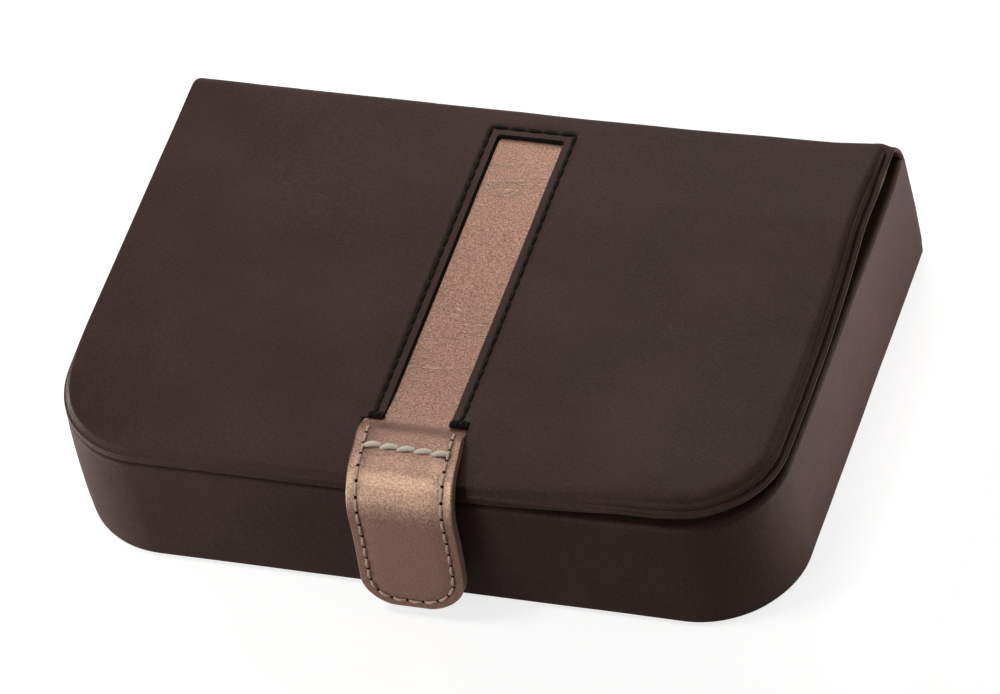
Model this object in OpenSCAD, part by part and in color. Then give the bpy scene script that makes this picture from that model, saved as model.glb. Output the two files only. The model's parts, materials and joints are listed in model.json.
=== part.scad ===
// Leather jewellery case. Leather is wrapped over board and foam, the lid turns on a leather
// fold along its back edge, and a strap of metallic leather lies under a stitched window in
// the lid, comes up through a slit, bends over the front edge and is held by a magnet.
// The origin is the centre of the flat underside: X is the width, +Y the back, +Z up.

/* [Case] */
// Width over the leather
case_w = 170; // [140:1:230]
// Depth over the leather, front to back
case_d = 115; // [100:1:150]
// Height of the closed case to the top of the lid
case_h = 35.8; // [32:0.1:60]
// Plan radius of the two front corners
corner_r = 23; // [18:0.5:30]
// Radius of the two back corners
back_r = 1.2; // [0.6:0.1:2]
// Radius along the foot of the walls
foot_r = 1.5; // [0.5:0.1:2.5]
// Radius along the outer edge of the rim
rim_r = 1.6; // [0.6:0.1:2.4]

/* [Wall layers] */
// Leather cover of the walls
cover_t = 1.2; // [0.8:0.1:1.6]
// Leather pared thin where it is turned over an edge
turn_t = 0.8; // [0.5:0.1:1.2]
// How far the cover is turned down inside the rim
rim_turn = 10; // [5:0.5:14]
// How far the cover is turned under the bottom board
foot_turn = 9; // [5:0.5:14]
// Foam under the wall cover
wall_foam_t = 0.8; // [0.4:0.1:1.5]
// Board of the walls and the bottom
board_t = 2; // [1.5:0.1:3]
// Lining of the walls
lining_t = 0.8; // [0.5:0.1:1.5]
// Height of bare cover between the lining and the rim
lining_drop = 3; // [2:0.5:5]
// Padded lining of the floor
floor_t = 1.4; // [0.8:0.1:2.5]
// Panel glued over the turned edges under the case
bottom_panel_t = 0.8; // [0.5:0.1:1.5]
// How far the bottom panel stays inside the walls
bottom_panel_in = 3; // [1:0.5:6]

/* [Lid] */
// Gap between the rim and the closed lid
lid_gap = 0.4; // [0.3:0.1:1.5]
// How far the lid edge stands inside the wall faces
lid_setback = 0.4; // [0:0.1:1.5]
// Leather cover of the lid
lid_cover_t = 0.8; // [0.7:0.1:1.2]
// Foam pad under the middle of the lid cover
lid_foam_t = 1.2; // [1.2:0.1:2.5]
// Width of the thin lip round the pad
lip_w = 1.6; // [1.2:0.1:4]
// Board of the lid
lid_board_t = 1.5; // [1.5:0.1:3]
// Lid cover pared thin where it is turned under the board
lid_turn_t = 0.4; // [0.3:0.1:0.8]
// How far the lid cover is turned under the board
lid_turn = 8; // [5:0.5:10]
// Radius along the upper edge of the lip
lip_r = 1; // [0.6:0.1:1.6]
// Lining panel of the lid, which drops inside the rim
lid_panel_t = 1.4; // [1:0.1:2]
// Clearance of the lining panel inside the wall lining
lid_panel_clear = 1; // [0.6:0.1:2]

/* [Back fold] */
// Outer radius of the leather fold over the back edge
fold_r = 6; // [5:0.1:7]
// Lining strip inside the fold
fold_lining_t = 0.6; // [0.4:0.1:0.8]
// How far the fold lining reaches down the wall and under the lid
fold_lining_reach = 11; // [8:0.5:14]

/* [Mirror] */
// Width of the mirror in the lid
mirror_w = 92; // [60:1:110]
// Depth of the mirror in the lid
mirror_d = 60; // [40:1:70]
// Thickness of the mirror
mirror_t = 1.5; // [1:0.1:2]
// Radius of the mirror's corners
mirror_r = 5; // [3.5:0.5:8]
// Width of the leather frame round the mirror
frame_w = 8; // [6:0.5:10]
// Thickness of the leather frame
frame_t = 0.7; // [0.5:0.1:1]
// How far the frame laps over the mirror
frame_lap = 2.5; // [1:0.5:3]

/* [Window and strap] */
// Width of the window in the lid cover
window_w = 15.2; // [12:0.1:20]
// Distance from the front of the case to the window
window_to_front = 18.5; // [17:0.1:26]
// Distance from the back of the case to the window
window_to_back = 11; // [10:0.1:16]
// Width of the strap
strap_w = 24; // [22:0.5:30]
// Metallic outer leather of the strap
strap_top_t = 1; // [0.8:0.1:1.2]
// Filler inside the strap
strap_core_t = 0.9; // [0.8:0.1:1.5]
// Lining leather of the strap
strap_back_t = 1; // [0.8:0.1:1.2]
// How far the strap runs under the cover beyond the window
inlay_lap = 3; // [2:0.5:5]
// Length over which the strap climbs through the slit
strap_climb = 5; // [4:0.5:7]
// Height of the strap's crest above the lid
crest_h = 5; // [4:0.1:8]
// Outer radius of the strap's bend
bend_r = 9; // [7.5:0.1:10]
// Gap between the wall and the back of the tab
tab_gap = 4.5; // [4:0.1:6]
// Height of the tab's tip above the underside
tab_foot = 3.4; // [1:0.1:5]
// Radius of the corners at the tab's tip
tip_r = 10; // [6:0.5:11]

/* [Magnet] */
// Diameter of the magnet's cup and of the striker plate
magnet_d = 14; // [10:0.5:16]
// Height of the magnet above the underside
magnet_z = 14; // [12:0.5:16]
// Thickness of the striker plate on the wall
striker_t = 1.2; // [0.8:0.1:1.4]
// Free gap between the magnet's cup and the striker plate
magnet_gap = 0.3; // [0.2:0.1:0.6]
// Wall of the magnet's cup
cup_wall = 0.8; // [0.5:0.1:1.2]
// Diameter of the shanks that hold the cup and the striker plate
shank_d = 3; // [2:0.1:4]
// Diameter of the washers on the shanks
washer_d = 9; // [7:0.5:11]
// Thickness of the washers
washer_t = 0.5; // [0.3:0.1:0.6]

/* [Inside] */
// Thickness of a divider over its cover
divider_t = 2.6; // [2.2:0.1:4]
// Suede cover of a divider
divider_cover_t = 0.6; // [0.4:0.1:0.8]
// Height of the dividers above the floor
divider_h = 19; // [12:0.5:20]
// Depth of the front tray
tray_d = 33; // [28:1:40]
// Width of the ring bay
ring_bay_w = 84; // [60:1:95]
// Depth of the square compartment in front of the back wall
back_cell_d = 33; // [20:1:36]
// Height of the ring rolls above the floor
roll_h = 19.5; // [14:0.5:20]
// Gap between neighbouring ring rolls
roll_gap = 0.3; // [0.2:0.1:1]

/* [Hidden] */

$fn = 48;
fit = 0.1;          // glued or sewn pieces that lie edge to edge
slip = 0.2;         // pieces that are dropped in or ride past each other
over = 1;           // how far a cutter runs past what it cuts
roll_count = 5;     // ring rolls, each with its own node
half_w = case_w / 2;
half_d = case_d / 2;

// heights of the layers, from the underside up
z_turn = bottom_panel_t;
z_board = z_turn + turn_t;
z_inside = z_board + board_t;
z_floor = z_inside + floor_t;
lid_t = lid_cover_t + lid_foam_t + lid_board_t + lid_turn_t;
z_lid = case_h - lid_t;
z_rim = z_lid - lid_gap;
z_wall_top = z_rim - turn_t;
z_lid_board = z_lid + lid_turn_t;
z_lid_foam = z_lid_board + lid_board_t;
z_lip = z_lid_foam + lid_cover_t;
z_lid_cover = z_lid_foam + lid_foam_t;
z_panel = z_lid - lid_panel_t;

// depths of the layers, from the outer face of a wall inwards
in_board = cover_t + wall_foam_t;
in_turn = in_board + board_t;
in_lining = in_turn + turn_t;
in_clear = in_lining + lining_t;
back_turn = cover_t + board_t;
back_lining_in = back_turn + fold_lining_t;
back_clear = back_lining_in + lining_t;
inside_w = half_w - in_clear;
inside_front = -half_d + in_clear;
inside_back = half_d - back_clear;

// lid outline
lid_half_w = half_w - lid_setback;
lid_front = -half_d + lid_setback;
lid_back = half_d - fold_r;
lid_r = corner_r - lid_setback;
panel_in = in_clear - lid_setback + lid_panel_clear;
z_fold = case_h - fold_r;
z_back_top = z_fold - fold_lining_t - slip;     // top of the back board, under the fold
fold_lining_w = 2 * (lid_half_w - lid_turn - fit);

// window and strap
window_rear = half_d - window_to_back;
window_front = -half_d + window_to_front;
window_l = window_rear - window_front;
strap_t = strap_top_t + strap_core_t + strap_back_t;
// the slit ends where the climbing strap's underside has come out above the lid
pad_t = lid_foam_t + lid_cover_t;
slit_l = strap_climb * pad_t / (pad_t + strap_t - strap_top_t) + 2 * slip;
climb_end = window_front - strap_climb;
tab_face = -half_d - tab_gap - strap_t;
bend_y = tab_face + bend_r;
bend_z = case_h + crest_h - bend_r;
ramp_run = climb_end - bend_y;
ramp_drop = case_h + strap_t - bend_z;
// the ramp is the tangent from the end of the climb to the bend
ramp_angle = asin(bend_r / norm([ramp_run, ramp_drop])) - atan2(ramp_drop, ramp_run);
mirror_y = (lid_front + panel_in + lid_back) / 2;

// inside
tray_y = inside_front + tray_d;
ring_x = -inside_w + ring_bay_w;
cell_y = inside_back - back_cell_d - divider_t;
roll_pitch = (inside_back - slip - tray_y - divider_t) / roll_count;

cup_h = tab_gap - striker_t - magnet_gap;

// Plan of the case or lid, set in from an outline with round front corners
module plan(hw, front, back, r) {
    translate([-(hw - r), front]) square([2 * (hw - r), back - front]);
    for (side = [-1, 1]) {
        translate([side * (hw - r), front + r]) circle(r);
        translate([side > 0 ? hw - r : -hw, front + r]) square([r, back - front - r]);
    }
}

module case_plate(inset, back_inset, z, t) {
    translate([0, 0, z]) linear_extrude(t)
        plan(half_w - inset, -half_d + inset, half_d - back_inset, corner_r - inset);
}

module lid_plate(inset, back, z, t) {
    translate([0, 0, z]) linear_extrude(t)
        plan(lid_half_w - inset, lid_front + inset, back, lid_r - inset);
}

// Carries a profile round the left side, the front and the right side. The profile is drawn
// with X as the depth inside the outer face and Y as the height.
module wrap(hw, front, back, r) {
    translate([-(hw - r), front, 0]) rotate([90, 0, 90]) linear_extrude(2 * (hw - r)) children();
    for (side = [0, 1]) mirror([side, 0, 0]) {
        translate([-hw, back, 0]) rotate([90, 0, 0]) linear_extrude(back - front - r) children();
        translate([-(hw - r), front + r, 0]) rotate([0, 0, 180]) rotate_extrude(angle = 90)
            translate([r, 0]) mirror([1, 0]) children();
    }
}

module case_wrap(back_inset) {
    wrap(half_w, -half_d, half_d - back_inset, corner_r) children();
}

// Carries a profile drawn in Y and Z across the case, centred
module across(w) {
    translate([-w / 2, 0, 0]) rotate([90, 0, 90]) linear_extrude(w) children();
}

module span(y0, z0, y1, z1) {
    translate([min(y0, y1), z0]) square([abs(y1 - y0), z1 - z0]);
}

// Box in profile whose corners next to the outer face are round
module edge_box(depth, z0, z1, r_low, r_top) {
    difference() {
        translate([0, z0]) square([depth, z1 - z0]);
        difference() {
            translate([0, z0]) square(r_low);
            translate([r_low, z0 + r_low]) circle(r_low);
        }
        difference() {
            translate([0, z1 - r_top]) square(r_top);
            translate([r_top, z1 - r_top]) circle(r_top);
        }
    }
}

module ring_2d(r_out, r_in) {
    difference() {
        circle(r_out);
        circle(r_in);
    }
}

module rounded_rect(w, d, r) {
    square([w - 2 * r, d], center = true);
    square([w, d - 2 * r], center = true);
    for (x = [-1, 1], y = [-1, 1]) translate([x * (w / 2 - r), y * (d / 2 - r)]) circle(r);
}

// ---- base ----

module bottom_cover() {
    color("#2b2422")
        case_plate(bottom_panel_in, bottom_panel_in, 0, bottom_panel_t);
}

module bottom_board() {
    color("#9a8468")
        case_plate(in_board, cover_t, z_board, board_t);
}

module wall_board() {
    color("#a58f72") difference() {
        case_wrap(back_turn)
            translate([in_board, z_inside]) square([board_t, z_wall_top - z_inside]);
        striker_bore();
    }
}

module back_board() {
    color("#a58f72")
        across(2 * (half_w - in_board))
            span(half_d - back_turn, z_inside, half_d - cover_t, z_back_top);
}

module wall_foam() {
    color("#d8d2c4") difference() {
        case_wrap(cover_t)
            translate([cover_t, z_board]) square([wall_foam_t, z_wall_top - z_board]);
        striker_bore();
    }
}

// The cover starts under the bottom board, climbs the wall, rolls over the rim and ends inside
module wall_cover() {
    color("#3a2d29") difference() {
        union() {
            case_wrap(cover_t) {
                difference() {
                    edge_box(in_turn, z_turn, z_rim, foot_r, rim_r);
                    translate([cover_t, z_board]) square([in_turn, z_wall_top - z_board]);
                }
                translate([in_turn, z_turn]) square([foot_turn - in_turn, turn_t]);
            }
            case_wrap(back_lining_in)
                translate([in_turn, z_rim - rim_turn]) square([turn_t, rim_turn]);
        }
        striker_bore();
        washer_recess();
    }
}

module back_cover() {
    color("#3a2d29") {
        difference() {
            across(case_w) difference() {
                span(half_d - cover_t, z_turn, half_d, z_fold);
                translate([half_d - foot_r, z_turn]) difference() {
                    square(foot_r);
                    translate([0, foot_r]) circle(foot_r);
                }
            }
            for (side = [0, 1]) mirror([side, 0, 0])
                translate([half_w - back_r, half_d - back_r, -over])
                    linear_extrude(case_h + 2 * over) difference() {
                        square(back_r + over);
                        circle(back_r);
                    }
        }
        across(2 * (half_w - foot_turn - fit))
            span(half_d - foot_turn, z_turn, half_d - cover_t, z_board);
    }
}

// Suede on card: the card stops below the turned leather and the suede runs on over it
module wall_lining() {
    color("#c9b79c") difference() {
        case_wrap(back_clear) {
            translate([in_turn, z_floor])
                square([in_clear - in_turn, z_rim - rim_turn - fit - z_floor]);
            translate([in_lining, z_floor]) square([lining_t, z_rim - lining_drop - z_floor]);
        }
        washer_recess();
    }
}

module back_lining() {
    color("#c9b79c") {
        across(2 * (inside_w - fit))
            span(inside_back, z_floor, half_d - back_lining_in, z_rim - lining_drop);
        across(2 * (half_w - in_lining - fit))
            span(half_d - back_lining_in, z_floor,
                half_d - back_turn, z_back_top - fold_lining_reach - fit);
    }
}

module floor_lining() {
    color("#c9b79c")
        case_plate(in_turn, back_turn, z_inside, floor_t);
}

// ---- dividers and ring rolls ----

// Upright board of length l along X, standing on the floor with its near face at Y = 0
module divider_board(l) {
    translate([0, divider_cover_t, z_floor])
        cube([l, divider_t - 2 * divider_cover_t, divider_h - divider_cover_t]);
}

// Suede folded over that board, with a round top edge
module divider_cover(l) {
    r = divider_t / 2;
    translate([0, 0, z_floor]) rotate([90, 0, 90]) linear_extrude(l) difference() {
        union() {
            square([divider_t, divider_h - r]);
            translate([r, divider_h - r]) circle(r);
        }
        translate([divider_cover_t, -over])
            square([divider_t - 2 * divider_cover_t, divider_h - divider_cover_t + over]);
    }
}

module at_tray_divider() {
    translate([-inside_w + slip, tray_y, 0]) children();
}

module at_ring_divider() {
    translate([ring_x + divider_t, tray_y + divider_t + fit, 0]) rotate([0, 0, 90]) children();
}

module at_cell_divider() {
    translate([ring_x + divider_t + fit, cell_y, 0]) children();
}

tray_divider_l = 2 * (inside_w - slip);
ring_divider_l = inside_back - tray_y - divider_t - fit - slip;
cell_divider_l = inside_w - slip - ring_x - divider_t - fit;

module tray_divider_board() { color("#a58f72") at_tray_divider() divider_board(tray_divider_l); }
module tray_divider_cover() { color("#bfa98c") at_tray_divider() divider_cover(tray_divider_l); }
module ring_divider_board() { color("#a58f72") at_ring_divider() divider_board(ring_divider_l); }
module ring_divider_cover() { color("#bfa98c") at_ring_divider() divider_cover(ring_divider_l); }
module cell_divider_board() { color("#a58f72") at_cell_divider() divider_board(cell_divider_l); }
module cell_divider_cover() { color("#bfa98c") at_cell_divider() divider_cover(cell_divider_l); }

// One padded roll of the ring bay, flat where it is glued down and round on top
module ring_roll(i) {
    w = roll_pitch - roll_gap;
    r = w / 2;
    color("#cdbb9f")
        translate([-inside_w + slip, tray_y + divider_t + roll_gap + i * roll_pitch, z_floor])
            rotate([90, 0, 90]) linear_extrude(ring_bay_w - 2 * slip) {
                square([w, roll_h - r]);
                translate([r, roll_h - r]) circle(r);
            }
}

// ---- magnet on the front wall ----

// Stands children on the magnet's axis at depth y, pointing to the back
module striker_axis(y) {
    translate([0, y, magnet_z]) rotate([-90, 0, 0]) children();
}

module striker_bore() {
    striker_axis(-half_d - over) cylinder(d = shank_d + 2 * fit, h = in_turn + 2 * over);
}

// Room for the washer in what lies inside the wall board
module washer_recess() {
    striker_axis(-half_d + in_turn - over)
        cylinder(d = washer_d + 2 * fit, h = over + washer_t + fit);
}

module striker_plate() {
    color("#b9b2a6") {
        striker_axis(-half_d - striker_t) cylinder(d = magnet_d, h = striker_t);
        striker_axis(-half_d) cylinder(d = shank_d, h = in_turn + washer_t);
    }
}

module striker_washer() {
    color("#b9b2a6") difference() {
        striker_axis(-half_d + in_turn) cylinder(d = washer_d, h = washer_t);
        striker_axis(-half_d + in_turn - over) cylinder(d = shank_d + fit, h = washer_t + 2 * over);
    }
}

// ---- fold along the back ----

// The lid leather goes on over the back edge; above the rim its margin is turned in at each end
module fold_leather() {
    color("#3a2d29") {
        across(2 * lid_half_w) fold_layer(0, lid_cover_t);
        for (side = [0, 1]) mirror([side, 0, 0])
            translate([lid_half_w - lid_turn / 2, 0, 0]) across(lid_turn) intersection() {
                fold_layer(lid_cover_t, lid_cover_t + lid_turn_t);
                translate([0, z_rim + slip]) square([half_d, fold_r]);
            }
    }
}

// Quarter round of the fold between two depths under its outer face
module fold_layer(d0, d1) {
    translate([lid_back, z_fold]) intersection() {
        ring_2d(fold_r - d0, fold_r - d1);
        square(fold_r);
    }
}

// Runs up the back board, over its top, round inside the fold and under the lid board
module fold_lining() {
    depth = max(cover_t, lid_cover_t);
    r_out = fold_r - depth;
    r_in = r_out - fold_lining_t;
    color("#4a3b34") across(fold_lining_w) {
        span(half_d - back_lining_in, z_back_top - fold_lining_reach, half_d - back_turn, z_back_top);
        span(half_d - back_lining_in, z_back_top, lid_back + r_out, z_back_top + fold_lining_t);
        span(lid_back + r_in, z_back_top + fold_lining_t, lid_back + r_out, z_fold);
        fold_layer(depth, depth + fold_lining_t);
        span(lid_back - fold_lining_t, z_lid, lid_back, z_fold + r_out);
        span(lid_back - fold_lining_reach, z_lid, lid_back - fold_lining_t, z_lid_board);
    }
}

// ---- lid ----

module lid_board() {
    color("#a58f72")
        lid_plate(lid_cover_t + fit, lid_back - fold_lining_t - fit, z_lid_board, lid_board_t);
}

module lid_foam() {
    color("#d8d2c4") difference() {
        lid_plate(lip_w + pad_t, lid_back - fold_lining_t - fit, z_lid_foam, lid_foam_t);
        translate([-strap_w / 2 - fit, window_front - slit_l, z_lid_foam - over])
            cube([strap_w + 2 * fit, window_l + slit_l + inlay_lap + fit, lid_foam_t + 2 * over]);
    }
}

// Section of the lid leather's border: it turns round the lip and steps up over the shoulder
// of the pad
module lid_border() {
    difference() {
        edge_box(lid_turn, z_lid, z_lip, lid_turn_t, lip_r);
        translate([lid_cover_t, z_lid_board]) square([lid_r, lid_board_t]);
        translate([lip_w + lid_cover_t / 2, z_lid_foam]) square([lid_r, pad_t]);
    }
    translate([lip_w + pad_t, z_lid_foam]) intersection() {
        ring_2d(pad_t, lid_foam_t);
        translate([-pad_t, 0]) square(pad_t);
    }
}

// The lid leather with its border, window and slit
module lid_cover() {
    color("#3f312c") difference() {
        union() {
            wrap(lid_half_w, lid_front, lid_back, lid_r) lid_border();
            lid_plate(lip_w + pad_t, lid_back, z_lid_cover, lid_cover_t);
        }
        translate([-window_w / 2, window_front, z_lid_cover - over])
            cube([window_w, window_l, lid_cover_t + 2 * over]);
        translate([-strap_w / 2 - slip, window_front - slit_l, z_lid_cover - over])
            cube([strap_w + 2 * slip, slit_l, lid_cover_t + 2 * over]);
    }
}

module lid_lining() {
    color("#c9b79c") difference() {
        lid_plate(panel_in, lid_back - fold_lining_t, z_panel, lid_panel_t);
        translate([0, mirror_y, z_panel - over]) linear_extrude(lid_panel_t + 2 * over)
            rounded_rect(mirror_w + 2 * slip, mirror_d + 2 * slip, mirror_r);
    }
}

module mirror_plan() {
    translate([0, mirror_y]) rounded_rect(mirror_w, mirror_d, mirror_r);
}

module mirror_glass() {
    color("#cfd6d8")
        translate([0, 0, z_panel]) linear_extrude(mirror_t) mirror_plan();
}

module mirror_backing() {
    color("#8c8578")
        translate([0, 0, z_panel + mirror_t])
            linear_extrude(z_lid_board - z_panel - mirror_t) mirror_plan();
}

module mirror_frame() {
    frame_outer = 2 * (frame_w - frame_lap);
    color("#3f312c") translate([0, mirror_y, z_panel - frame_t]) linear_extrude(frame_t) difference() {
        rounded_rect(mirror_w + frame_outer, mirror_d + frame_outer, mirror_r + frame_w - frame_lap);
        rounded_rect(mirror_w - 2 * frame_lap, mirror_d - 2 * frame_lap, mirror_r - frame_lap);
    }
}

// ---- strap and tab ----

// Ends of the tangent ramp at a depth under the strap's outer face
function ramp_start(d) = [climb_end - d * sin(ramp_angle), case_h + strap_t - d * cos(ramp_angle)];
function ramp_end(d) =
    [bend_y + (bend_r - d) * sin(ramp_angle), bend_z + (bend_r - d) * cos(ramp_angle)];

// Layer of the strap between two depths, along the ramp
module ramp_layer(d0, d1) {
    polygon([ramp_start(d0), ramp_end(d0), ramp_end(d1), ramp_start(d1)]);
}

// The same layer round the bend
module bend_layer(d0, d1) {
    translate([bend_y, bend_z]) intersection() {
        ring_2d(bend_r - d0, bend_r - d1);
        polygon([[0, 0], [-3 * bend_r, 0], [-3 * bend_r, 3 * bend_r],
                 3 * bend_r * [sin(ramp_angle), cos(ramp_angle)]]);
    }
}

// Outer leather: lies in the window, climbs through the slit and runs up the ramp
module strap_leather() {
    color("#a58476") across(strap_w) polygon([
        [window_rear + inlay_lap, z_lid_foam], [window_rear + inlay_lap, z_lid_foam + strap_top_t],
        [window_front, z_lid_foam + strap_top_t], ramp_start(0), ramp_end(0),
        ramp_end(strap_top_t), ramp_start(strap_top_t), [window_front - slip, z_lid_foam]
    ]);
}

module strap_core() {
    color("#a9836a") across(strap_w) ramp_layer(strap_top_t, strap_top_t + strap_core_t);
}

module strap_lining() {
    color("#8f705c") across(strap_w) ramp_layer(strap_top_t + strap_core_t, strap_t);
}

module strap_bend() {
    color("#a58476") across(strap_w) bend_layer(0, strap_t);
}

// Face of the tab with its rounded tip, drawn in X and Z
module tab_plan(inset = 0) {
    w = strap_w - 2 * inset;
    r = tip_r - inset;
    low = tab_foot + inset;
    translate([-w / 2, low + r]) square([w, bend_z - low - r]);
    translate([-(w / 2 - r), low]) square([w - 2 * r, r]);
    for (side = [-1, 1]) translate([side * (w / 2 - r), low + r]) circle(r);
}

// Layer of the hanging tab between two depths under its outer face
module tab_layer(d0, d1) {
    translate([0, tab_face + d1, 0]) rotate([90, 0, 0]) linear_extrude(d1 - d0) tab_plan();
}

module tab_leather() {
    color("#a58476") tab_layer(0, strap_top_t);
}

module tab_core() {
    color("#a9836a") difference() {
        tab_layer(strap_top_t, strap_top_t + strap_core_t);
        striker_axis(tab_face + strap_t - strap_back_t - washer_t - fit)
            cylinder(d = washer_d + 2 * fit, h = washer_t + fit + over);
    }
}

module tab_lining() {
    color("#8f705c") difference() {
        tab_layer(strap_t - strap_back_t, strap_t);
        striker_axis(tab_face - over) cylinder(d = shank_d + 2 * fit, h = strap_t + 2 * over);
    }
}

module magnet_cup() {
    color("#b9b2a6") {
        difference() {
            striker_axis(tab_face + strap_t) cylinder(d = magnet_d, h = cup_h);
            striker_axis(tab_face + strap_t + cup_wall)
                cylinder(d = magnet_d - 2 * cup_wall, h = cup_h);
        }
        striker_axis(tab_face + strap_t - strap_back_t - washer_t)
            cylinder(d = shank_d, h = strap_back_t + washer_t + fit);
    }
}

module magnet_disc() {
    color("#5d5a57")
        striker_axis(tab_face + strap_t + cup_wall)
            cylinder(d = magnet_d - 2 * cup_wall - 2 * fit, h = cup_h - cup_wall - slip);
}

module magnet_washer() {
    color("#b9b2a6") difference() {
        striker_axis(tab_face + strap_t - strap_back_t - washer_t) cylinder(d = washer_d, h = washer_t);
        striker_axis(tab_face) cylinder(d = shank_d + fit, h = strap_t);
    }
}

bottom_cover();
bottom_board();
wall_board();
back_board();
wall_foam();
wall_cover();
back_cover();
wall_lining();
back_lining();
floor_lining();
tray_divider_board();
tray_divider_cover();
ring_divider_board();
ring_divider_cover();
cell_divider_board();
cell_divider_cover();
ring_roll(0);  // ring_roll_1
ring_roll(1);  // ring_roll_2
ring_roll(2);  // ring_roll_3
ring_roll(3);  // ring_roll_4
ring_roll(4);  // ring_roll_5
striker_plate();
striker_washer();
fold_leather();
fold_lining();
lid_board();
lid_foam();
lid_cover();
lid_lining();
mirror_glass();
mirror_backing();
mirror_frame();
strap_leather();
strap_core();
strap_lining();
strap_bend();
tab_leather();
tab_core();
tab_lining();
magnet_cup();
magnet_disc();
magnet_washer();
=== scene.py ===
import json
import bpy
import numpy as np
from mathutils import Matrix, Vector


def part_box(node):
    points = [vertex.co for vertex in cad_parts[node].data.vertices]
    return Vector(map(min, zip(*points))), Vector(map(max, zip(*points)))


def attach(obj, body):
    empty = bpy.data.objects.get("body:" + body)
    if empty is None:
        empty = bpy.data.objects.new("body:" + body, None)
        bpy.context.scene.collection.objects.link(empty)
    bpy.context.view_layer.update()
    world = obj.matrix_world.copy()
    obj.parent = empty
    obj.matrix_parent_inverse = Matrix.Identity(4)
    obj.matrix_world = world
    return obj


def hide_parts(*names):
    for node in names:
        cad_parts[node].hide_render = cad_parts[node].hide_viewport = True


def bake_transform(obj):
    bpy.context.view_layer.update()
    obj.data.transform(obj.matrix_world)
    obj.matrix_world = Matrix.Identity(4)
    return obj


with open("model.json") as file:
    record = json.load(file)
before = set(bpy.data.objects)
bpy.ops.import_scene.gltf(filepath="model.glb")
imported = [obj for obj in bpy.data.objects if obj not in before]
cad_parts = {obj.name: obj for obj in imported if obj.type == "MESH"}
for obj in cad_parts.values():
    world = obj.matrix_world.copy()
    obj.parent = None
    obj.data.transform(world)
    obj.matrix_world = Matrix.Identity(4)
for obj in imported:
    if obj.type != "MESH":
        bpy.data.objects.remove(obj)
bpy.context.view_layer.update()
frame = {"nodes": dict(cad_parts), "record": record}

mm = 0.001
print("frame loaded,", len(frame["nodes"]), "nodes")


def boxMm(node):
    low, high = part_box(node)
    return np.array(low) / mm, np.array(high) / mm


def ease(t):
    # 0 below 0, 1 above 1, and three t squared minus two t cubed between
    t = np.clip(t, 0, 1)
    return t * t * (3 - 2 * t)


def bell(x, width):
    return np.exp(-(x / width) ** 2)


def waves(x, y, seed, long, count=7):
    # sum of sines in random directions, about -1 to 1, with wavelengths from long down to a third
    rng = np.random.default_rng(seed)
    turn, phase = rng.uniform(0, 2 * np.pi, (2, count))
    pace = 2 * np.pi / (long * rng.uniform(0.33, 1, count))
    total = sum(np.sin(p * (x * np.cos(a) + y * np.sin(a)) + f) for p, a, f in zip(pace, turn, phase))
    return total / np.sqrt(count) / 1.5


def lineTo(a, b, count):
    # points from a towards b, without b itself
    return np.array(a) + (np.array(b) - np.array(a)) * np.linspace(0, 1, count, endpoint=False)[:, None]


def arcTo(centre, radius, fromDeg, toDeg, count):
    a = np.radians(np.linspace(fromDeg, toDeg, count, endpoint=False))
    return np.array(centre) + radius * np.column_stack([np.cos(a), np.sin(a)])


def wayAlong(path):
    # arc length at every point of a path
    return np.concatenate([[0], np.cumsum(np.linalg.norm(np.diff(path, axis=0), axis=1))])


def stepsAlong(path, count=None, step=None, closed=False):
    # points at equal steps of arc length along a dense path
    if closed:
        path = np.vstack([path, path[:1]])
    length = wayAlong(path)
    count = count or max(2, int(round(length[-1] / step)) + (0 if closed else 1))
    at = np.linspace(0, length[-1], count, endpoint=not closed)
    return np.column_stack([np.interp(at, length, path[:, k]) for k in range(path.shape[1])])


def soften(path, sigma, step=0.1):
    # the path in small equal steps, each point the bell-weighted mean of its neighbours
    path = stepsAlong(path, step=step)
    reach = int(4 * sigma / step)
    weight = bell(np.arange(-reach, reach + 1) * step, sigma * 1.414)
    weight /= weight.sum()
    start = path[0] + (path[0] - path[1]) * np.arange(reach, 0, -1)[:, None]
    end = path[-1] + (path[-1] - path[-2]) * np.arange(1, reach + 1)[:, None]
    padded = np.vstack([start, path, end])
    return np.column_stack([np.convolve(padded[:, k], weight, "valid") for k in range(2)])


def leftNormals(path, closed=False):
    if closed:
        along = np.roll(path, -1, 0) - np.roll(path, 1, 0)
    else:
        along = np.gradient(path, axis=0)
    along /= np.linalg.norm(along, axis=1)[:, None]
    return np.column_stack([-along[:, 1], along[:, 0]])


def makePiece(name, points, faces):
    # points in mm, faces with four corners, of which a triangle repeats the last; they are turned
    # outwards by the sign of the volume they enclose
    tri = np.vstack([faces[:, [0, 1, 2]], faces[:, [0, 2, 3]]])
    a, b, c = (points[tri[:, k]] for k in range(3))
    if np.einsum("ij,ij->", a, np.cross(b, c)) < 0:
        faces = faces[:, ::-1]
    triangle = faces[:, 2] == faces[:, 3]
    mesh = bpy.data.meshes.new(name)
    mesh.from_pydata((points * mm).tolist(), [], faces[~triangle].tolist() + faces[triangle, :3].tolist())
    mesh.update()
    mesh.validate()      # also drops the end fans of a tube that was turned round: those ends are open
    mesh.polygons.foreach_set("use_smooth", np.ones(len(mesh.polygons), bool))
    piece = bpy.data.objects.new(name, mesh)
    bpy.context.scene.collection.objects.link(piece)
    return piece


def gridFaces(rows, columns, closeRows, closeColumns):
    # quads between neighbours on a grid of points numbered row by row
    i = np.arange(rows if closeRows else rows - 1)
    j = np.arange(columns if closeColumns else columns - 1)
    i, j = np.meshgrid(i, j, indexing="ij")
    here, ahead = i * columns, (i + 1) % rows * columns
    beside = (j + 1) % columns
    return np.stack([here + j, ahead + j, ahead + beside, here + beside], -1).reshape(-1, 4)


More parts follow.
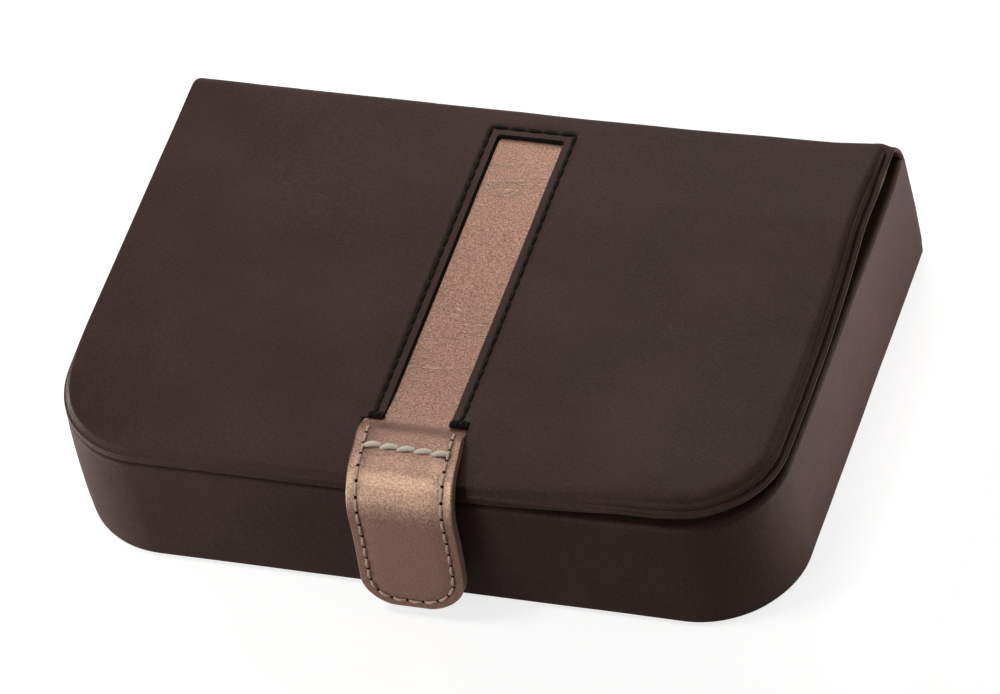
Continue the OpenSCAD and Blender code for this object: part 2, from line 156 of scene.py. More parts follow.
def tube(name, rings, closed=False):
    # rings: one closed section after another, an array of (ring, point, xyz); open ends get a fan
    count, around = rings.shape[:2]
    points = rings.reshape(-1, 3)
    faces = gridFaces(count, around, closed, True)
    if not closed:
        j = np.arange(around)
        beside = (j + 1) % around
        hub = np.full(around, len(points))
        last = (count - 1) * around
        startFan = np.stack([hub, j, beside, beside], -1)
        endFan = np.stack([hub + 1, last + beside, last + j, last + j], -1)
        faces = np.vstack([faces, startFan, endFan])
        points = np.vstack([points, rings[0].mean(0), rings[-1].mean(0)])
    return makePiece(name, points, faces)


def manyRods(name, rings, cap):
    # many small tubes in one mesh: rings is (tube, ring, point, xyz), and cap the faces over a
    # tube's first ring, which close its last ring turned round
    number, count, around = rings.shape[:3]
    size = count * around
    caps = np.vstack([cap, (cap + size - around)[:, ::-1]])
    shift = (np.arange(number) * size)[:, None, None]
    faces = [(part + shift).reshape(-1, 4) for part in (gridFaces(count, around, False, True), caps)]
    return makePiece(name, rings.reshape(-1, 3), np.vstack(faces))


def addStitches(name, a, b, out, radius, rise, sink, flat=0.8):
    # every stitch is a bent tapered rod: centre = a + (b - a) s + out (rise sin(pi s) - sink),
    # its radius falls to a third at both ends; ten rings of eight points each
    s = np.linspace(0, 1, 10)
    phi = np.linspace(0, 2 * np.pi, 8, endpoint=False)
    along = b - a
    along = along / np.linalg.norm(along, axis=1)[:, None]
    side = np.cross(along, out)
    side /= np.linalg.norm(side, axis=1)[:, None]
    centre = a[:, None] + (b - a)[:, None] * s[None, :, None]
    centre = centre + out[:, None] * (rise * np.sin(np.pi * s) - sink)[None, :, None]
    girth = radius * (0.35 + 0.65 * np.sin(np.pi * np.clip(s, 0.02, 0.98)) ** 0.45)
    ring = side[:, None, None] * np.cos(phi)[None, None, :, None]
    ring = ring + flat * out[:, None, None] * np.sin(phi)[None, None, :, None]
    rings = centre[:, :, None] + girth[None, :, None, None] * ring
    return manyRods(name, rings, np.array([[0, 1, 2, 3], [0, 3, 4, 7], [4, 5, 6, 7]]))


# materials

class Field:
    # a node's output that can be used in sums
    def __init__(self, nodes, socket):
        self.nodes, self.socket = nodes, socket

    def maths(self, operation, *values, clamp=False):
        return self.nodes.add("ShaderNodeMath", {"operation": operation, "use_clamp": clamp},
                              dict(enumerate(values)))

    def __add__(self, other): return self.maths("ADD", self, other)
    def __radd__(self, other): return self.maths("ADD", other, self)
    def __sub__(self, other): return self.maths("SUBTRACT", self, other)
    def __rsub__(self, other): return self.maths("SUBTRACT", other, self)
    def __mul__(self, other): return self.maths("MULTIPLY", self, other)
    def __rmul__(self, other): return self.maths("MULTIPLY", other, self)

    def between(self, low, high):
        # 0 at low, 1 at high, smooth between
        return self.nodes.add("ShaderNodeMapRange", {"interpolation_type": "SMOOTHSTEP"},
                              {"Value": self, "From Min": low, "From Max": high})


class Nodes:
    # a node tree filled by expressions
    def __init__(self, tree):
        self.tree = tree
        tree.nodes.clear()

    def add(self, kind, settings=None, sockets=None, output=0):
        node = self.tree.nodes.new(kind)
        for key, value in (settings or {}).items():
            setattr(node, key, value)
        for key, value in (sockets or {}).items():
            if isinstance(value, Field):
                self.tree.links.new(value.socket, node.inputs[key])
            else:
                node.inputs[key].default_value = value
        return Field(self, node.outputs[output]) if node.outputs else node

    def place(self, stretch=(1, 1, 1)):
        # object coordinates in mm, with an optional stretch
        where = self.add("ShaderNodeTexCoord", output=3)
        return self.add("ShaderNodeVectorMath", {"operation": "MULTIPLY"},
                        {0: where, 1: tuple(1000 * k for k in stretch)})

    def noise(self, where, scale, detail=3.0, rough=0.55, warp=0.0):
        return self.add("ShaderNodeTexNoise", {}, {"Vector": where, "Scale": scale, "Detail": detail,
                                                   "Roughness": rough, "Distortion": warp})

    def cellEdges(self, where, scale):
        # distance from the edges between random cells
        return self.add("ShaderNodeTexVoronoi", {"feature": "DISTANCE_TO_EDGE"},
                        {"Vector": where, "Scale": scale, "Randomness": 1.0})

    def mixed(self, factor, a, b):
        return self.add("ShaderNodeMix", {"data_type": "RGBA"},
                        {0: factor, 6: a if isinstance(a, Field) else (*a, 1),
                         7: b if isinstance(b, Field) else (*b, 1)}, 2)

    def whiteRays(self, glossShare):
        # 1 for what the camera sees, also through glass, and a share of it in gloss
        camera, gloss, glass = (self.add("ShaderNodeLightPath", output=k) for k in (0, 3, 6))
        return camera.maths("ADD", camera + gloss * glossShare, glass, clamp=True)

    def bump(self, height, depth):
        # depth in mm
        return self.add("ShaderNodeBump", {}, {"Height": height, "Distance": depth * mm, "Strength": 1.0})


class Finish(Nodes):
    # one procedural material round a Principled shader
    inputs = {"colour": "Base Color", "rough": "Roughness", "metal": "Metallic", "normal": "Normal",
              "sheen": "Sheen Weight", "sheenRough": "Sheen Roughness", "specular": "Specular IOR Level",
              "glow": "Emission Color", "glowStrength": "Emission Strength"}

    def __init__(self, name, **surface):
        self.material = bpy.data.materials.new(name)
        self.material.use_nodes = True
        super().__init__(self.material.node_tree)
        output = self.add("ShaderNodeOutputMaterial")
        self.shader = self.tree.nodes.new("ShaderNodeBsdfPrincipled")
        self.tree.links.new(self.shader.outputs[0], output.inputs[0])
        self.set(**surface)

    def set(self, **surface):
        for key, value in surface.items():
            socket = self.shader.inputs[self.inputs[key]]
            if isinstance(value, Field):
                self.tree.links.new(value.socket, socket)
            else:
                socket.default_value = (*value, 1) if hasattr(value, "__len__") else value


materials = {}


def keep(slotName, finish):
    materials[slotName] = finish.material


def darkLeather(name, colour, pale, rough=0.44):
    # calf: fine pores between tiny plump cells, soft clouds in colour and gloss
    f = Finish(name, specular=0.07)
    where = f.place()
    cloud = f.noise(where, 0.035, 3.0)
    fleck = f.noise(where, 2.0, 2.0, 0.7)
    crease = f.cellEdges(f.place((1, 1.25, 1)), 1.55).between(0.0, 0.22)
    pore = f.noise(where, 3.4, 2.0, 0.7)
    height = crease * 0.5 + pore * 0.9 + f.noise(where, 0.42, 3.0) * 0.9
    tone = cloud.between(0.3, 0.75) * 0.45 + fleck.between(0.35, 0.68) * 0.55
    f.set(colour=f.mixed(tone, colour, pale), rough=rough + cloud * 0.10 - crease * 0.03,
          normal=f.bump(height, 0.04))
    return f


keep("dark_leather", darkLeather("darkLeather", (0.044, 0.0245, 0.0228), (0.076, 0.0435, 0.0400)))
keep("frameLeather", darkLeather("frameLeather", (0.028, 0.020, 0.018), (0.044, 0.032, 0.028), 0.5))
# a much darker leather for the turn-in under the lid's border: painted shade in the gap under the lid
turnInShade = darkLeather("turnInShade", (0.014, 0.0080, 0.0075), (0.026, 0.0150, 0.0140), 0.6)

foilLook = dict(
    low=(0.12, 0.060, 0.040), grain=(0.54, 0.325, 0.232), cloud=(0.28, 0.155, 0.13), cloudShare=0.2,
    tab=(0.46, 0.215, 0.165), tabShadeShare=0.45, tabZ=(37.0, 31.0),             # painted shade: the hanging part is darker and browner
    bendHighlight=(0.95, 0.65, 0.47), highlightY=(-51.0, -59.0), highlightZ=(32.0, 37.5),      # painted highlight where the strap bends
    crack=(0.80, 0.62, 0.48), rearCracks=(34.0, 5.0), frontCracks=(-20.0, 17.0),      # y and reach
    metal=0.48, lessOnTab=0.33, rough=0.27, roughMore=0.14, bump=0.10)


def foil():
    # rose-bronze foil on leather: bright grains, fine cross creases in two places, satin sheen, a painted highlight
    # over the bend and painted shade on the hanging part
    look = foilLook
    f = Finish("bronzeFoil", specular=0.25)
    where = f.place()
    speck = f.noise(where, 2.1, 3.0, 0.9)
    tiny = f.noise(where, 4.0, 1.0, 0.5)
    cloud = f.noise(where, 0.09, 3.0)
    y, z = (f.add("ShaderNodeSeparateXYZ", {}, {0: where}, k) for k in (1, 2))
    streak = f.noise(f.place((0.10, 1.15, 1.0)), 1.0, 3.0, 0.6, 0.5) - 0.5
    hair = streak.maths("ABSOLUTE", streak).between(0.022, 0.0)
    patch = f.noise(f.place((0.35, 1, 1)), 0.14, 2.0).between(0.47, 0.60)
    rear, front = (y.maths("COMPARE", y, *look[k]) for k in ("rearCracks", "frontCracks"))
    crack = hair * patch * (rear + front)
    tone = speck.between(0.38, 0.64) * 0.72 + tiny.between(0.35, 0.7) * 0.28
    base = f.mixed(tone, look["low"], look["grain"])
    base = f.mixed(cloud.between(0.35, 0.7) * look["cloudShare"], base, look["cloud"])
    # painted shade: the foil colour is darker and browner on the hanging part
    onTab = z.between(*look["tabZ"])
    paintedShadeAndHighlight = f.mixed(onTab * look["tabShadeShare"], base, look["tab"])
    # painted highlight: the foil colour is lightened over the bend
    onBend = y.between(*look["highlightY"]) * z.between(*look["highlightZ"])
    paintedShadeAndHighlight = f.mixed(onBend * (0.20 + tone * 0.42), paintedShadeAndHighlight, look["bendHighlight"])
    height = speck * 0.9 + tiny * 0.4 + f.noise(where, 0.7, 3.0) * 0.7 + crack * 0.5
    f.set(colour=f.mixed(crack * 0.7, paintedShadeAndHighlight, look["crack"]), metal=look["metal"] - onTab * look["lessOnTab"],
          rough=look["rough"] + speck * look["roughMore"], normal=f.bump(height, look["bump"]))
    return f


keep("metallic_leather", foil())


def paintedEdge():
    # cut edges filled with smooth matt paint
    f = Finish("paintedEdge", specular=0.4)
    where = f.place()
    cloud = f.noise(where, 0.35, 3.0)
    f.set(colour=f.mixed(cloud, (0.20, 0.105, 0.068), (0.30, 0.170, 0.115)), rough=0.46 + cloud * 0.1,
          normal=f.bump(f.noise(where, 1.2, 3.0), 0.05))
    return f


keep("tan_leather", paintedEdge())


def suede(name, colour, pale):
    # short nap: soft brushed patches and a fine fuzz
    f = Finish(name, sheen=0.35, sheenRough=0.5, specular=0.15, rough=0.92)
    brushed = f.noise(f.place((1, 1, 0.4)), 0.07, 4.0, 0.6, 0.6)
    fuzz = f.noise(f.place(), 3.2, 3.0, 0.75)
    f.set(colour=f.mixed(brushed.between(0.3, 0.7) * 0.6 + fuzz * 0.4, colour, pale),
          normal=f.bump(fuzz + brushed * 0.5, 0.12))
    return f


keep("suede", suede("suedeNap", (0.36, 0.275, 0.19), (0.50, 0.40, 0.295)))


def plainStuff(name, colour, pale, rough, scale, depth, metal=0.0, stretch=(1, 1, 1), specular=0.5):
    f = Finish(name, metal=metal, specular=specular)
    grain = f.noise(f.place(stretch), scale, 4.0, 0.65)
    f.set(colour=f.mixed(grain, colour, pale), rough=rough + grain * 0.12, normal=f.bump(grain, depth))
    return f


keep("greyboard", plainStuff("greyBoard", (0.27, 0.21, 0.15), (0.38, 0.31, 0.23), 0.85, 0.9, 0.05))
keep("foam", plainStuff("sheetFoam", (0.55, 0.52, 0.45), (0.68, 0.64, 0.56), 0.9, 2.5, 0.08))
keep("mirror", plainStuff("mirrorGlass", (0.84, 0.86, 0.86), (0.88, 0.90, 0.90), 0.0, 0.02, 0.0, 1.0))
keep("steel", plainStuff("satinSteel", (0.50, 0.48, 0.45), (0.60, 0.58, 0.55), 0.28, 1.4, 0.01, 1.0, (1, 1, 0.1)))
keep("magnet", plainStuff("platedMagnet", (0.22, 0.22, 0.22), (0.30, 0.30, 0.30), 0.25, 0.6, 0.005, 1.0))


def thread(name, colour, pale, rough=0.55):
    # waxed thread: fine twist lines across every stitch
    f = Finish(name, specular=0.12, rough=rough)
    where = f.place()
    twist = f.add("ShaderNodeTexWave", {"bands_direction": "DIAGONAL"},
                  {"Vector": where, "Scale": 1.6, "Distortion": 1.0, "Detail": 1.0}, 1)
    f.set(colour=f.mixed(twist * 0.6 + f.noise(where, 1.5) * 0.4, colour, pale), normal=f.bump(twist, 0.06))
    return f


blackThread = thread("blackThread", (0.003, 0.002, 0.002), (0.012, 0.009, 0.008), 0.5)
taupeThread = thread("taupeThread", (0.46, 0.31, 0.245), (0.86, 0.66, 0.54))
creamThread = thread("creamThread", (0.70, 0.60, 0.50), (0.97, 0.89, 0.79))
blackEdge = plainStuff("blackEdge", (0.004, 0.003, 0.003), (0.012, 0.010, 0.010), 0.4, 1.0, 0.03, specular=0.1)
# painted shade of the stitch holes
holeShade = plainStuff("paintedHoleShade", (0.012, 0.007, 0.006), (0.03, 0.018, 0.015), 0.8, 1.0, 0.02, specular=0.0)


def dress(piece, finish, body=None, stands=()):
    piece.data.materials.clear()
    piece.data.materials.append(finish.material if isinstance(finish, Finish) else materials[finish])
    if body:
        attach(piece, body)
    if stands:
        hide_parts(*stands)
    return piece


nodeSlot = {s["node"]: s["material_slot"] for s in frame["record"]["subparts"]}
for nodeName, node in frame["nodes"].items():
    node.data.materials.clear()
    node.data.materials.append(materials[nodeSlot[nodeName]])
print("materials ready")


# The lid leather is one sheet from the lip of the lid over the padded top, round the fold and down
# the back wall, with the window and the slit cut out. Flat coordinates: x, and w, the way over the
# surface from the start of the fold (w = y - foldY on the lid, arc length after it).

lidLow, lidHigh = boxMm("lid_cover")
boardLow, boardHigh = boxMm("lid_board")
backLow, backHigh = boxMm("back_cover")
wallLow, wallHigh = boxMm("wall_cover")
strapLow = boxMm("strap_leather")[0]
tabLow, tabHigh = boxMm("tab_leather")

lid = dict(
    top=lidHigh[2], under=lidLow[2], halfW=lidHigh[0], front=lidLow[1], foldY=lidHigh[1],
    cornerR=22.6, foldR=backHigh[1] - lidHigh[1], foot=backLow[2], footR=1.5, underFoot=7.0, footCornerR=6.0,
    leather=0.8, lipDrop=(0.4, 3.1), foldDrop=0.35, lipR=0.32, thinLip=0.95, foldDeep=5.2, wallDeep=1.15,
    padRun=(0.9, 1.7, 3.4), valley=0.15, valleyAt=0.95, crown=0.5, crownRun=7.0,
    winX=7.6, winFront=-39.0, winRear=46.5, winR=0.6, slitX=12.2, slitFront=-42.25, slitR=0.3, belt=5.0,
    flangeDrop=0.16, flangeW=2.7, flangeRise=1.2, seamAt=2.5, seamDip=0.42, cutSlope=0.45, cutDeep=1.3,
    rightEnd=(9.9, -38.4, 0.85, 2.3), leftEnd=(-9.6, -38.4, 0.3, 1.8),      # x, y, rise and width
    liftAt=(-84, -50, 0, 30, 50, 70, 79, 84.6), liftRear=(0.33, 0.43, 0.75, 1.16, 1.87, 2.9, 4.1, 5.5),
    alongAt=(-57, -30, -3, 15, 30, 44, 57), along=(0.28, 0.34, 0.44, 0.70, 1.0, 0.92, 0.8),
    liftCorner=3.0, cornerWidth=30.0, puckers=0.16, puckerWidth=13.0,
    pull=0.6, pullY=35, pullWidth=18.0, ripple=0.16,
    boardIn=4, boardDown=0.3, boardSpine=40)
foldArc = np.pi / 2 * lid["foldR"]
wallDrop = lid["top"] - lid["foldR"] - lid["foot"] - lid["footR"]
footArc = np.pi / 2 * lid["footR"]
footEnd = foldArc + wallDrop + footArc
wEnd = footEnd + lid["underFoot"]


def lidFrame(w):
    # y, z and the outward normal at the way w
    a = np.clip(w, 0, foldArc) / lid["foldR"]
    down = np.clip(w - foldArc, 0, wallDrop)
    b = np.clip(w - foldArc - wallDrop, 0, footArc) / lid["footR"]
    inward = np.clip(w - foldArc - wallDrop - footArc, 0, None)
    y = lid["foldY"] + np.minimum(w, 0) + lid["foldR"] * np.sin(a) + lid["footR"] * (np.cos(b) - 1) - inward
    z = lid["top"] + lid["foldR"] * (np.cos(a) - 1) - down - lid["footR"] * np.sin(b)
    return y, z, np.sin(a + b), np.cos(a + b)


def roundedDistance(x, y, halfX, y0, y1, radius):
    # distance outside a rounded box, negative inside
    qx = np.abs(x) - (halfX - radius)
    qy = np.abs(y - (y0 + y1) / 2) - ((y1 - y0) / 2 - radius)
    return np.hypot(np.maximum(qx, 0), np.maximum(qy, 0)) + np.minimum(np.maximum(qx, qy), 0) - radius


def lidInset(x, w):
    # distance inside the lid's side and front edges; the rear end lies far behind
    farBehind = 400.0
    return -roundedDistance(x, w, lid["halfW"], lid["front"] - lid["foldY"], farBehind, lid["cornerR"])


def windowDistance(x, w):
    # distance outside window and slit together, and outside the window
    y = w + lid["foldY"]
    window = roundedDistance(x, y, lid["winX"], lid["winFront"], lid["winRear"], lid["winR"])
    slit = roundedDistance(x, y, lid["slitX"], lid["slitFront"], lid["winFront"], lid["slitR"])
    return np.minimum(window, slit), window


def looseness(x, w):
    # 0 along the tight left edge, 1 where the cover stands off the board at the right
    atFront = ease((-20 - w - lid["foldY"]) / 25.0)
    return np.maximum(ease((x + 25) / 85.0), 0.5 * atFront)


def borderDrop(x, w):
    # how far the lip's edge lies below the top; less towards the fold
    tight, loose = lid["lipDrop"]
    drop = tight + (loose - tight) * looseness(x, w)
    drop = drop * (1 - 0.7 * ease((w + 14) / 20.0))
    return drop + (lid["foldDrop"] - drop) * ease((w - 3.5) / 5.0)


def borderDeep(x, w):
    # thickness of the border: the lid, then the end of the fold (rolled in at the left, a thin lip
    # at the right), then the back wall
    deep = lid["top"] - lid["under"]
    right = x > 0
    end = np.where(right, borderDrop(x, w) + lid["thinLip"], lid["foldDeep"])
    fold = deep + (end - deep) * ease((w + np.where(right, 12, 0.5)) / np.where(right, 10, 3.0))
    return fold + (lid["wallDeep"] - end) * ease((w - 4.5) / 4.9)


def lidHeight(x, w):
    # height over the flat top: rounded shoulder inside the lip (a quarter ellipse), with a valley
    # behind the lip where the cover is loose + crown + flange and seam round the window + the two
    # raised ends of the flange + ripples
    onLid = 1 - ease(w / 3.0 + 0.25)
    y = w + lid["foldY"]
    inset = np.maximum(lidInset(x, w), 0)
    loose = looseness(x, w)
    off = np.clip(2 * loose - 1, 0, 1)
    run = np.interp(loose, (0, 0.5, 1), lid["padRun"])
    t = np.clip((inset - lid["lipR"] - 0.45 * off) / run, 0, 1)
    cove = 0.85 * ease(loose / 0.6)
    fall = (1 - np.sqrt(1 - (1 - t) ** 2)) * (1 - cove) + (1 - ease(t)) * cove
    valley = lid["valley"] * off * bell(inset - lid["valleyAt"], 0.28) * (1 - ease((w + 15) / 13.0))
    shoulder = -borderDrop(x, w) * fall - valley
    crown = -lid["crown"] * np.exp(-np.maximum(inset - 1.5, 0) / lid["crownRun"]) * ease(inset / 2.5) * onLid
    crown = crown * (0.3 + 0.7 * loose)
    near, window = windowDistance(x, w)
    rearOnly = ease((y - lid["slitFront"] + 1.0) / 3.0)
    flange = -lid["flangeDrop"] * (1 - ease((near - lid["flangeW"]) / lid["flangeRise"]))
    square = np.maximum(np.abs(x) - lid["winX"], y - lid["winRear"])
    dip = -lid["seamDip"] * bell(square - lid["seamAt"], 0.45)
    swell = 0.15 * bell(window - 4.6, 1.5)
    ends = sum(rise * bell(np.hypot(x - endX, y - endY), width)
               for endX, endY, rise, width in (lid["rightEnd"], lid["leftEnd"]))
    height = shoulder + crown + (flange + dip + swell) * (0.25 + 0.75 * rearOnly) + ends
    calm = ease(near / 6.0) * ease((inset - 1.0) / 6.0)
    wavesHere = waves(x, w, 11, 42) * 0.6 + waves(x, w, 12, 17) * 0.25
    return height + lid["ripple"] * wavesHere * calm * (1 - 0.7 * ease(w / 8.0))


def lidLift(x, y):
    # the lid stands a little proud towards its right side: most at the back and at the front
    # corner, where the leather puckers too
    rear = np.interp(x, lid["liftAt"], lid["liftRear"])
    along = np.interp(y, lid["alongAt"], lid["along"])
    corner = lid["liftCorner"] * bell(np.hypot(x - 62, y + 56), lid["cornerWidth"])
    pucker = lid["puckers"] * np.sin((x + 0.6 * y) / 2.2) * bell(np.hypot(x - 64, y + 57), lid["puckerWidth"])
    return rear * along + corner + pucker


# half the width of the sheet at the ways w
widthStops = np.array([[0, 84.6], [foldArc * 0.6, 84.6], [foldArc, 84.8], [foldArc + wallDrop / 2, 85.1],
                       [foldArc + wallDrop - 2, 85.0], [foldArc + wallDrop + footArc / 2, 84.5],
                       [footEnd, 83.8], [wEnd, 83.6]])


def lidPoints(x, w, h, share=1.0):
    # the point at height h over (x, w); share is how much of the lift it takes
    y, z, ny, nz = lidFrame(w)
    halfWidth = np.interp(w, widthStops[:, 0], widthStops[:, 1])
    pull = lid["pull"] * bell(y - lid["pullY"], lid["pullWidth"]) * ease((x - 60) / 24.0)
    lift = lidLift(x, w + lid["foldY"]) * (1 - ease((w - 2.5) / 9.5)) * share
    return np.stack([x * halfWidth / lid["halfW"] - pull, y + ny * h, z + nz * h + lift], -1)


def lidRings():
    # three closed lines with as many points each, in flat coordinates: the outer edge, the edge of
    # window and slit, and a belt round it; their left halves are drawn, and mirrored
    halfW, r, footR = lid["halfW"], lid["cornerR"], lid["footCornerR"]
    y0, foldEnd = lid["front"] - lid["foldY"], foldArc + 1.5
    outer = [
        [(0, y0), (-(halfW - r), y0)],
        [*arcTo((-(halfW - r), y0 + r), r, 270, 180, 60), (-halfW, y0 + r)],
        [(-halfW, y0 + r), (-halfW, -1.5)],
        [(-halfW, -1.5), (-halfW, foldEnd)],
        [(-halfW, foldEnd), (-halfW, wEnd - footR)],
        [*arcTo((-(halfW - footR), wEnd - footR), footR, 180, 90, 40), (-(halfW - footR), wEnd)],
        [(-(halfW - footR), wEnd), (0, wEnd)]]
    x, slitX = -lid["winX"], -lid["slitX"]
    front, rear, slit = (lid[key] - lid["foldY"] for key in ("winFront", "winRear", "slitFront"))
    third, second = rear - 20.0, rear - 9.0
    hole = [
        [(0, slit), (slitX, slit)],
        [(slitX, slit), (slitX, front), (x, front)],
        [(x, front), (x, third)],
        [(x, third), (x, second)],
        [(x, second), (x, rear - 0.5)],
        [(x, rear - 0.5), (x + 0.15, rear - 0.15), (x + 0.5, rear)],
        [(x + 0.5, rear), (0, rear)]]
    beltX, beltRear, beltR, slitR = x - lid["belt"], rear + lid["belt"], 3.0, 3.4
    belt = [
        [(0, slit - 3.0), (slitX - 0.4, slit - 3.0)],
        [*arcTo((slitX - 0.4, slit + 0.4), slitR, 270, 180, 20), (slitX - 3.8, slit + 0.4),
         (beltX - 0.8, front + 5.0)],
        [(beltX - 0.8, front + 5.0), (beltX, front + 9.0), (beltX, third)],
        [(beltX, third), (beltX, second)],
        [(beltX, second), (beltX, rear + 1.0)],
        [*arcTo((beltX + beltR, beltRear - beltR), beltR, 180, 90, 12), (beltX + beltR, beltRear)],
        [(beltX + beltR, beltRear), (0, beltRear)]]
    counts = [44, 34, 96, 20, 20, 12, 22]
    rings = []
    for parts, end in ((outer, wEnd), (hole, rear), (belt, beltRear)):
        half = np.vstack([stepsAlong(np.array(part, float), count + 1)[:-1] for part, count in zip(parts, counts)])
        rings.append(np.vstack([half, [(0, end)], half[1:][::-1] * [-1, 1]]))
    return rings


def lidSheet():
    # columns of points from the turned-in edge up the lip, over the top to the window, down its cut
    # and back to the edge under the leather; every column runs once round the sheet
    outer, hole, belt = lidRings()
    w = outer[:, 1]
    inward = -leftNormals(outer, closed=True)
    inward *= 1 - 0.55 * ease((w - wEnd + 13) / 9.0)[:, None]      # closer columns under the foot
    deep, drop, skin, r = borderDeep(outer[:, 0], w), borderDrop(outer[:, 0], w), lid["leather"], lid["lipR"]
    inner = np.minimum(0.4 - deep, -skin - 0.02)
    turned = [(8, inner), (8, (inner - deep) / 2), (8, -deep), (5, -deep), (2.6, -deep), (1.9, -deep),
              (1.2, -deep)]
    lip = [(0.6, -deep), (0.25, 0.06 - deep), (0.0, 0.2 - deep), (-0.08, 0.38 - deep), (-0.06, 0.58 - deep),
           (0, 0.78 - deep)]
    lip += [(r - r * np.cos(a), -drop - r + r * np.sin(a)) for a in np.radians(np.linspace(0, 90, 7))]
    columns = []

    def column(p, h, share=1.0):
        columns.append(lidPoints(*p.T, h, share))

    def topColumn(p, down=0.0):
        column(p, lidHeight(*p.T) - down)

    for d, h in turned + lip:
        column(outer + inward * d, h, 1 - ease((d - 1.3) / 2.1) * (1 - ease(w / 4.0)))
    for d in (0.5, 0.58, 0.68, 0.8, 0.93, 1.06, 1.2, 1.3, 1.42, 1.58, 1.8, 2.1, 2.45, 2.9, 3.5, 4.4, 5.6, 7.2):
        topColumn(outer + inward * d)
    ring = outer + inward * 9.2
    for t in np.linspace(0, 1, 44):
        topColumn(ring + (belt - ring) * t)
    towards = belt - hole
    towards /= np.linalg.norm(towards, axis=1)[:, None]
    brink = hole + towards * lid["cutSlope"]
    for t in np.linspace(0, 1, 24)[1:]:
        topColumn(belt + (brink - belt) * t)
    cutFrom = len(columns) - 1
    for t in (0.06, 0.2, 0.5, 0.8, 0.95):
        topColumn(brink + (hole - brink) * t, lid["cutDeep"] * t ** 1.5)
    topColumn(hole, lid["cutDeep"])
    cutTo = len(columns) - 1
    for t in (0.3, 1):
        topColumn(hole + (belt - hole) * t, skin)
    for t in np.linspace(0, 1, 40)[1:]:
        topColumn(belt + (ring - belt) * t, skin)
    onWall = ease(w / 3.0)
    for d, h in ((5.7, -0.95), (2.7, -1.65), (1.5, 1.9 - deep), (1.5, 0.42 - deep)):
        way = d * (1 - onWall) + 8 * onWall
        column(outer + inward * way[:, None], h * (1 - onWall) + (-skin - 0.01) * onWall)
    points = np.stack(columns, 1)
    rows, around = points.shape[:2]
    piece = makePiece("lidLeather", points.reshape(-1, 3), gridFaces(rows, around, True, True))
    number = np.arange(around)
    # kind 1 is the black cut edge of the window, kind 2 the turn-in in painted shade
    kind = np.where((number >= cutFrom) & (number < cutTo), 1, np.where(number < len(turned), 2, 0))
    return piece, np.tile(kind, rows).astype(np.int32)


lidLeather, leatherKind = lidSheet()
dress(lidLeather, "dark_leather", None, ("lid_cover", "fold_leather", "back_cover"))
for other in (blackEdge, turnInShade):
    lidLeather.data.materials.append(other.material)
lidLeather.data.polygons.foreach_set("material_index", leatherKind)
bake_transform(lidLeather)
print("lid leather", len(lidLeather.data.polygons), "faces")


def roundFront(x1, y0, y1, r, frontCount, sideCount, backCount):
    # a plan with two round front corners, from the middle of its front by the left side
    return np.vstack([
        lineTo((0, y0), (-(x1 - r), y0), frontCount), arcTo((-(x1 - r), y0 + r), r, 270, 180, 14),
        lineTo((-x1, y0 + r), (-x1, y1), sideCount), lineTo((-x1, y1), (x1, y1), backCount),
        lineTo((x1, y1), (x1, y0 + r), sideCount), arcTo((x1 - r, y0 + r), r, 0, -90, 14),
        lineTo((x1 - r, y0), (0, y0), frontCount)])


def plate(name, outline, spineHalf, spineY, low, high, rings=14):
    # a closed plate between two height fields, in rings that shrink from the outline to a spine
    spine = np.column_stack([np.clip(outline[:, 0], -spineHalf, spineHalf), np.full(len(outline), spineY)])
    shares = 1 - np.linspace(0, 1, rings) ** 1.5
    columns = []
    for level, order in ((low, shares[::-1]), (high, shares)):
        for t in order:
            p = spine + (outline - spine) * t
            columns.append(np.column_stack([p, level(*p.T)]))
    points = np.stack(columns, 1)
    return makePiece(name, points.reshape(-1, 3), gridFaces(points.shape[0], points.shape[1], True, True))


def makeLidBoard():
    # flat below, and above it follows the lid's lift
    edge = lid["boardIn"]
    y0, y1 = lid["front"] + edge, boardHigh[1]
    outline = roundFront(lid["halfW"] - edge, y0, y1, lid["cornerR"] - edge, 14, 24, 40)
    return plate("lidBoard", outline, lid["boardSpine"], (y0 + y1) / 2, lambda x, y: boardLow[2] + 0 * x,
                 lambda x, y: boardHigh[2] - lid["boardDown"] + lidLift(x, y))


dress(makeLidBoard(), "greyboard", "lid", ("lid_board",))


# The wall leather is a profile carried round left, front and right.

wall = dict(halfW=85.0, front=-57.5, back=wallHigh[1], cornerR=23.0, rim=wallHigh[2], foot=wallLow[2],
            rimR=1.8, footR=1.2, leather=1.2, thick=4.8, turned=0.8, rimTurn=10.0, footTurn=9.0,
            rimIn=0.2, belly=0.4, dents=0.07, rimDip=0.10,
            backRise=(85, 57, 1.6, 7.0), frontRise=(72, -52, 0.8, 24.0))     # x, y, rise and width


